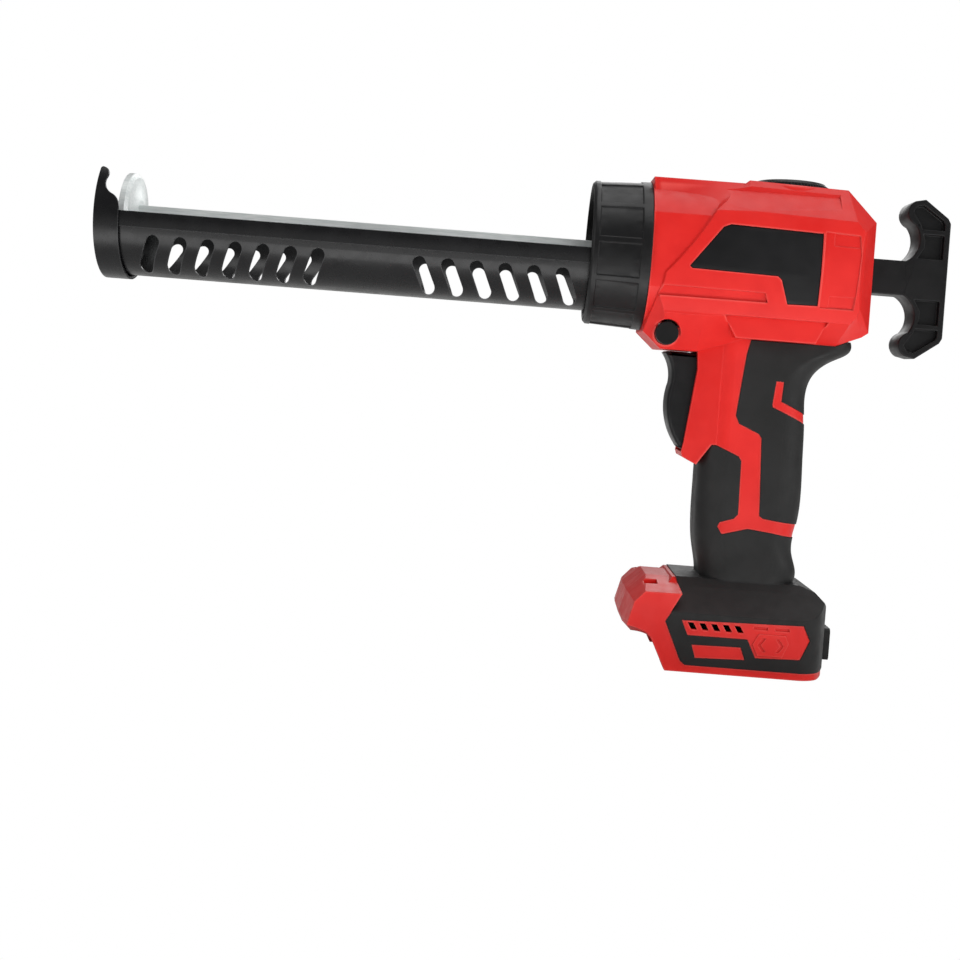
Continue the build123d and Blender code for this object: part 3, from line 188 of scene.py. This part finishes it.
finishes = {
    # Shell: textured ABS, saturated red, with a painted pale highlight along its corners
    "red_abs": finish("redAbsTextured", {
        **moulded, "dark": "#D21C18", "light": "#DB241F", "rough": 0.40, "specular": 0.32,
        "grain": 0.35 * mm, "depth": 0.03 * mm, "corner": 0.5 * mm,
        "seam": 0.14 * mm, "rim": "#EE5A54", "reach": 1.3 * mm}),
    # Overmould: matt elastomer, charcoal, with almost no highlight
    "soft_tpe": finish("charcoalTpeMatt", {
        **moulded, "dark": "#161616", "light": "#1C1C1C", "rough": 0.52, "specular": 0.35,
        "grain": 0.3 * mm, "depth": 0.04 * mm, "corner": 0.7 * mm, "seam": 0.14 * mm}),
    # Ring nut, handle and dial: glass-filled nylon, a little shiny on its ribs
    "black_nylon": finish("blackNylonMoulded", {
        **moulded, "dark": "#0D0D0E", "light": "#121213", "rough": 0.40, "specular": 0.35,
        "grain": 0.4 * mm, "depth": 0.03 * mm, "corner": 0.6 * mm}),
    # Trigger and side panels: smooth moulding with long soft reflections
    "black_gloss": finish("blackPlasticSmooth", {
        **moulded, "dark": "#171718", "light": "#1C1C1D", "rough": 0.34, "specular": 0.22,
        "grain": 1.2 * mm, "depth": 0.004 * mm, "corner": 0.8 * mm}),
    # Carriage: satin powder coat with a slight orange peel, and a painted pale highlight on its cut edges
    "black_steel": finish("blackSteelPowderCoated", {
        **moulded, "dark": "#08080A", "light": "#0D0D0F", "rough": 0.27, "specular": 0.4,
        "grain": 1.4 * mm, "depth": 0.02 * mm, "corner": 0.4 * mm, "rim": "#4A4A4C", "reach": 0.6 * mm}),
    # Rod and plunger: passivated zinc plating, pale and a little chalky, with rolling streaks
    "zinc_steel": finish("zincPlatedSteel", {
        **worked, "dark": "#DCE3E2", "light": "#F6F9F8", "rough": 0.42, "metallic": 0.4,
        "tone": 9 * mm, "grain": 9 * mm, "lay": (1, 12, 12), "corner": 0.3 * mm}),
    # Fasteners and gears: turned steel, bright, with short highlights
    "bright_steel": finish("turnedSteel", {
        **worked, "dark": "#8E9294", "light": "#B9BCBE", "rough": 0.32,
        "tone": 3 * mm, "grain": 3 * mm, "corner": 0.2 * mm}),
    # Gear frame and gearbox: die-cast alloy, dull and blotchy
    "cast_alloy": finish("dieCastAlloy", {
        **worked, "dark": "#8C8E90", "light": "#A6A8A9", "rough": 0.5,
        "tone": 4 * mm, "grain": 4 * mm, "corner": 0.4 * mm}),
    # Guides: sintered bronze, brown and porous
    "bronze": finish("sinteredBronze", {
        **worked, "dark": "#7A5630", "light": "#9A7040", "rough": 0.5,
        "tone": 1 * mm, "grain": 1 * mm, "corner": 0.2 * mm}),
    # Terminal blades: tinned copper, warm and satin, drawn lengthwise
    "copper": finish("tinnedCopper", {
        **worked, "dark": "#B98A5A", "light": "#D2A673", "rough": 0.35,
        "tone": 4 * mm, "grain": 4 * mm, "lay": (1, 12, 12), "corner": 0.1 * mm}),
    # Controller board: glass laminate under green lacquer, with a soft gloss
    "board": finish("boardLaminateGreen", {
        **moulded, "dark": "#123D22", "light": "#18492A", "rough": 0.45,
        "grain": 0.6 * mm, "depth": 0.02 * mm, "corner": 0.1 * mm}),
}
for part in frame["record"]["subparts"]:
    mesh = nodes[part["node"]].data
    mesh.materials.clear()
    mesh.materials.append(finishes[part["material_slot"]])
print("materials done")

# Moulded edges: what the mesh split is joined again, then a small round on all that is sharp
rounds = {
    "trigger": 2.0 * mm, "t_handle": 0.5 * mm, "collar": 0.2 * mm,
    "side_panel_left": 0.3 * mm, "side_panel_right": 0.3 * mm,
}
edgeWork = {"joinWithin": 0.01 * mm, "flatWithin": 0.5, "sharpFrom": 28, "steps": 3}  # angles in degrees


def joinAgain(node):
    weld = node.modifiers.new("weld", "WELD")
    weld.merge_threshold = edgeWork["joinWithin"]


for name, width in rounds.items():
    joinAgain(nodes[name])
    flat = nodes[name].modifiers.new("flat", "DECIMATE")
    flat.decimate_type = "DISSOLVE"
    flat.angle_limit = math.radians(edgeWork["flatWithin"])
    thirds = nodes[name].modifiers.new("thirds", "TRIANGULATE")
    thirds.ngon_method = "BEAUTY"
    edge = nodes[name].modifiers.new("round", "BEVEL")
    edge.width = width
    edge.segments = edgeWork["steps"]
    edge.limit_method = "ANGLE"
    edge.angle_limit = math.radians(edgeWork["sharpFrom"])
    edge.use_clamp_overlap = False
    edge.harden_normals = True

# The lock button fills its bore a little better, so that no light shows past it
lockSwell = 0.3 * mm
joinAgain(nodes["lock_button"])
swell = nodes["lock_button"].modifiers.new("swell", "DISPLACE")
swell.strength = lockSwell
swell.mid_level = 0.0
print("edges done")

# Screws and dial are grown by geometry nodes, in millimetres, and kept as plain meshes
mergeWithin = 0.001  # millimetres
toMetres = (mm, mm, mm)


def grow(name, points, sizes, build, material, body, node):
    tree = bpy.data.node_groups.new(name, "GeometryNodeTree")
    tree.interface.new_socket("Points", in_out="INPUT", socket_type="NodeSocketGeometry")
    tree.interface.new_socket("Mesh", in_out="OUTPUT", socket_type="NodeSocketGeometry")
    keys = {}
    for key, value in sizes.items():
        kind = "NodeSocketInt" if isinstance(value, int) else "NodeSocketFloat"
        keys[key] = tree.interface.new_socket(key, in_out="INPUT", socket_type=kind).identifier
    inlet = addNode(tree, "NodeGroupInput").outputs
    whole = addNode(tree, "GeometryNodeRealizeInstances", links={"Geometry": build(tree, inlet)})
    coat = addNode(tree, "GeometryNodeSetMaterial", inputs={"Material": material},
                   links={"Geometry": whole.outputs["Geometry"]})
    addNode(tree, "NodeGroupOutput", links={"Mesh": coat.outputs["Geometry"]})
    seeds = bpy.data.meshes.new(name + "Seeds")
    seeds.from_pydata(points, [], [])
    piece = bpy.data.objects.new(name, seeds)
    bpy.context.scene.collection.objects.link(piece)
    modifier = piece.modifiers.new("grow", "NODES")
    modifier.node_group = tree
    for key, value in sizes.items():
        modifier[keys[key]] = value
    graph = bpy.context.evaluated_depsgraph_get()
    mesh = bpy.data.meshes.new_from_object(piece.evaluated_get(graph), depsgraph=graph)
    piece.modifiers.clear()
    piece.data = mesh
    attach(piece, body)
    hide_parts(node)


def shift(tree, shape, axis, distance, share):
    # Moves a shape along an axis by a share of a distance
    part = addNode(tree, "ShaderNodeMath", {"operation": "MULTIPLY"}, {1: share}, {0: distance})
    move = addNode(tree, "ShaderNodeCombineXYZ", links={axis: part.outputs[0]})
    return addNode(tree, "GeometryNodeTransform",
                   links={"Geometry": shape, "Translation": move.outputs[0]}).outputs[0]


def drum(tree, radius, depth, sides):
    # A disc whose top lies at zero, hanging down
    disc = addNode(tree, "GeometryNodeMeshCylinder", inputs={"Vertices": sides},
                   links={"Radius": radius, "Depth": depth})
    return shift(tree, disc.outputs["Mesh"], "Z", depth, -0.5)


def bar(tree, length, width, depth):
    # A bar whose middle lies at zero
    size = addNode(tree, "ShaderNodeCombineXYZ", links={"X": length, "Y": width, "Z": depth})
    return addNode(tree, "GeometryNodeMeshCube", links={"Size": size.outputs[0]}).outputs["Mesh"]


def carve(tree, shape, tools):
    cut = addNode(tree, "GeometryNodeMeshBoolean", {"operation": "DIFFERENCE"},
                  links={"Mesh 1": shape, "Mesh 2": tools})
    return addNode(tree, "GeometryNodeMergeByDistance", inputs={"Distance": mergeWithin},
                   links={"Geometry": cut.outputs["Mesh"]}).outputs["Geometry"]


# Housing screws: pan heads with a cross recess, at the bottom of the wells on the right side
screw = {
    "Head radius": 3.3, "Head height": 2.3, "Dome radius": 5.0,
    "Blade length": 3.8, "Blade width": 0.8, "Blade depth": 2.8,
    "Shank radius": 1.45, "Shank length": 20.0,
}
screwFaces = {"dome": 40, "head": 48, "shank": 16}
domeTurn = 0.05                  # radians, so that no blade runs along the dome's edges
secondBlade = (1.01, 1.01, 0.9)  # a little different, so that the blades share no face
screwReach = 7.5 * mm            # what lies closer to a screw's first vertex belongs to it
headFlat = 0.1 * mm
shafts = []
for vertex in nodes["housing_screws"].data.vertices:
    near = [s for s in shafts if math.hypot(s[0].x - vertex.co.x, s[0].z - vertex.co.z) < screwReach]
    if near:
        near[0].append(vertex.co)
    else:
        shafts.append([vertex.co])
heads = []
for shaft in shafts:
    top = [c for c in shaft if c.y > max(v.y for v in shaft) - headFlat]
    heads.append([(min(c[k] for c in top) + max(c[k] for c in top)) / 2 for k in range(3)])


def screwTree(tree, inlet):
    ball = addNode(tree, "GeometryNodeMeshUVSphere",
                   inputs={"Segments": screwFaces["dome"], "Rings": screwFaces["dome"]},
                   links={"Radius": inlet["Dome radius"]}).outputs["Mesh"]
    ball = addNode(tree, "GeometryNodeTransform", inputs={"Rotation": (0, 0, domeTurn)},
                   links={"Geometry": ball}).outputs[0]
    ball = shift(tree, ball, "Z", inlet["Dome radius"], -1.0)
    slug = drum(tree, inlet["Head radius"], inlet["Head height"], screwFaces["head"])
    head = addNode(tree, "GeometryNodeMeshBoolean", {"operation": "INTERSECT"},
                   links={"Mesh 2": [ball, slug]})
    blade = bar(tree, inlet["Blade length"], inlet["Blade width"], inlet["Blade depth"])
    cross = addNode(tree, "GeometryNodeTransform",
                    inputs={"Rotation": (0, 0, math.pi / 2), "Scale": secondBlade},
                    links={"Geometry": blade}).outputs[0]
    head = carve(tree, head.outputs["Mesh"], [blade, cross])
    shank = drum(tree, inlet["Shank radius"], inlet["Shank length"], screwFaces["shank"])
    shank = shift(tree, shank, "Z", inlet["Head height"], -1.0)
    whole = addNode(tree, "GeometryNodeJoinGeometry", links={"Geometry": [head, shank]})
    return addNode(tree, "GeometryNodeInstanceOnPoints",
                   inputs={"Rotation": (-math.pi / 2, 0, 0), "Scale": toMetres},
                   links={"Points": inlet["Points"], "Instance": whole.outputs[0]}).outputs["Instances"]


grow("housingScrews", heads, screw, screwTree, finishes["bright_steel"],
     "housing", "housing_screws")

# Speed dial: a knurled rim and a pointer groove across the top
dialLow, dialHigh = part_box("speed_dial")
dialRadius = (dialHigh[0] - dialLow[0]) / 2 / mm
ridgeRadius = 0.45
dial = {
    "Rim radius": dialRadius - ridgeRadius, "Rim height": 4.5,
    "Top radius": dialRadius - 1.7, "Top height": 1.3,
    "Ridge radius": ridgeRadius, "Ridges": 72,
    "Groove length": dialRadius * 0.8, "Groove width": 1.6, "Groove depth": 1.2,
    "Stem radius": 3.0, "Stem length": (dialHigh[2] - dialLow[2]) / mm - 1.0,
}
dialFaces = {"rim": 96, "ridge": 10, "stem": 32}
dialTop = ((dialLow[0] + dialHigh[0]) / 2, (dialLow[1] + dialHigh[1]) / 2, dialHigh[2])


def dialTree(tree, inlet):
    cone = addNode(tree, "GeometryNodeMeshCone", inputs={"Vertices": dialFaces["rim"]},
                   links={"Radius Top": inlet["Top radius"], "Radius Bottom": inlet["Rim radius"],
                          "Depth": inlet["Top height"]})
    cone = shift(tree, cone.outputs["Mesh"], "Z", inlet["Top height"], -1.0)
    rim = drum(tree, inlet["Rim radius"], inlet["Rim height"], dialFaces["rim"])
    rim = shift(tree, rim, "Z", inlet["Top height"], -1.0)
    solid = addNode(tree, "GeometryNodeMeshBoolean", {"operation": "UNION"}, links={"Mesh 2": [cone, rim]})
    groove = bar(tree, inlet["Groove length"], inlet["Groove width"], inlet["Groove depth"])
    groove = shift(tree, groove, "X", inlet["Groove length"], -0.5)
    top = carve(tree, solid.outputs["Mesh"], groove)
    ring = addNode(tree, "GeometryNodeMeshCircle",
                   links={"Vertices": inlet["Ridges"], "Radius": inlet["Rim radius"]})
    ridge = drum(tree, inlet["Ridge radius"], inlet["Rim height"], dialFaces["ridge"])
    knurl = addNode(tree, "GeometryNodeInstanceOnPoints",
                    links={"Points": ring.outputs["Mesh"], "Instance": ridge})
    knurl = shift(tree, knurl.outputs["Instances"], "Z", inlet["Top height"], -1.0)
    stem = drum(tree, inlet["Stem radius"], inlet["Stem length"], dialFaces["stem"])
    stem = shift(tree, stem, "Z", inlet["Groove depth"], -1.0)
    whole = addNode(tree, "GeometryNodeJoinGeometry", links={"Geometry": [top, knurl, stem]})
    return addNode(tree, "GeometryNodeInstanceOnPoints", inputs={"Scale": toMetres},
                   links={"Points": inlet["Points"], "Instance": whole.outputs[0]}).outputs["Instances"]


grow("speedDialKnurled", [dialTop], dial, dialTree, finishes["black_nylon"],
     "speed_dial", "speed_dial")
print("grown pieces done")

# Studio: paper floor, soft boxes, white behind
studio = {
    "floorDrop": 0.5 * mm, "floorReach": 3.0, "paperBlotch": 40 * mm, "paperDetail": 2.0,
    "paperSpan": (0.35, 0.65), "paperDark": "#E9E9E8", "paperLight": "#F0F0EF",
    "white": "#FFFFFF", "skyGlow": 0.22,
}


def seenWhite(tree, out, lit, seen):
    # The camera sees plain white, and all else is lit by the surface
    path = addNode(tree, "ShaderNodeLightPath")
    mix = addNode(tree, "ShaderNodeMixShader", links={0: path.outputs["Is Camera Ray"], 1: lit, 2: seen})
    tree.links.new(mix.outputs["Shader"], out.inputs["Surface"])


floorMaterial, floorTree, floorOut, floorPlace = newMaterial("paperFloor")
fibres = cloud(floorTree, floorPlace, studio["paperBlotch"], studio["paperDetail"])
paper = mottled(floorTree, fibres, studio["paperDark"], studio["paperLight"], studio["paperSpan"])
matt = addNode(floorTree, "ShaderNodeBsdfDiffuse", links={"Color": paper})
glow = addNode(floorTree, "ShaderNodeEmission", inputs={"Color": linear(studio["white"]), "Strength": 1.0})
seenWhite(floorTree, floorOut, matt.outputs["BSDF"], glow.outputs["Emission"])
low = cadBox[0][2] - studio["floorDrop"]
wide = studio["floorReach"]
floorMesh = bpy.data.meshes.new("floor")
floorMesh.from_pydata([(-wide, -wide, low), (wide, -wide, low), (wide, wide, low), (-wide, wide, low)],
                      [], [(0, 1, 2, 3)])
floorMesh.materials.append(floorMaterial)
floor = bpy.data.objects.new("floor", floorMesh)
bpy.context.scene.collection.objects.link(floor)

world = bpy.data.worlds.new("studio")
world.use_nodes = True
bpy.context.scene.world = world
air = world.node_tree
air.nodes.clear()
airOut = addNode(air, "ShaderNodeOutputWorld")
skies = [addNode(air, "ShaderNodeBackground", inputs={"Color": linear(studio["white"]), "Strength": strength})
         for strength in (studio["skyGlow"], 1.0)]
seenWhite(air, airOut, skies[0].outputs["Background"], skies[1].outputs["Background"])

# The fill stays out of reflections, and the card lies on the floor in front and lights the underside
softBoxes = {
    "top": {"at": (0.1, -0.1, 1.0), "to": (0, 0, -0.05), "size": (1.0, 1.0), "power": 6, "shine": True},
    "left": {"at": (-1.1, -0.5, 0.3), "to": (-0.1, 0, -0.05), "size": (0.7, 0.7), "power": 2, "shine": True},
    "right": {"at": (1.1, -0.5, 0.3), "to": (0.05, 0, -0.05), "size": (0.7, 0.7), "power": 3, "shine": True},
    "back": {"at": (0.2, 1.1, 0.6), "to": (0, 0, -0.05), "size": (0.9, 0.9), "power": 5, "shine": True},
    "fill": {"at": (0.6, -1.05, -0.08), "to": (0, 0, -0.05), "size": (0.9, 0.9), "power": 7.5,
             "shine": False},
    "card": {"at": (-0.05, -0.21, -0.18), "to": (-0.05, -0.2, 1.0), "size": (0.7, 0.16), "power": 0.8,
             "shine": True},
}
for name, box in softBoxes.items():
    lamp = bpy.data.lights.new(name, "AREA")
    lamp.shape = "RECTANGLE"
    lamp.size, lamp.size_y = box["size"]
    lamp.energy = box["power"]
    holder = bpy.data.objects.new(name, lamp)
    bpy.context.scene.collection.objects.link(holder)
    aim = Vector(box["to"]) - Vector(box["at"])
    holder.rotation_euler = aim.to_track_quat("-Z", "Y").to_euler()
    holder.location = box["at"]
    holder.visible_glossy = box["shine"]
    holder.visible_camera = False
print("studio done")
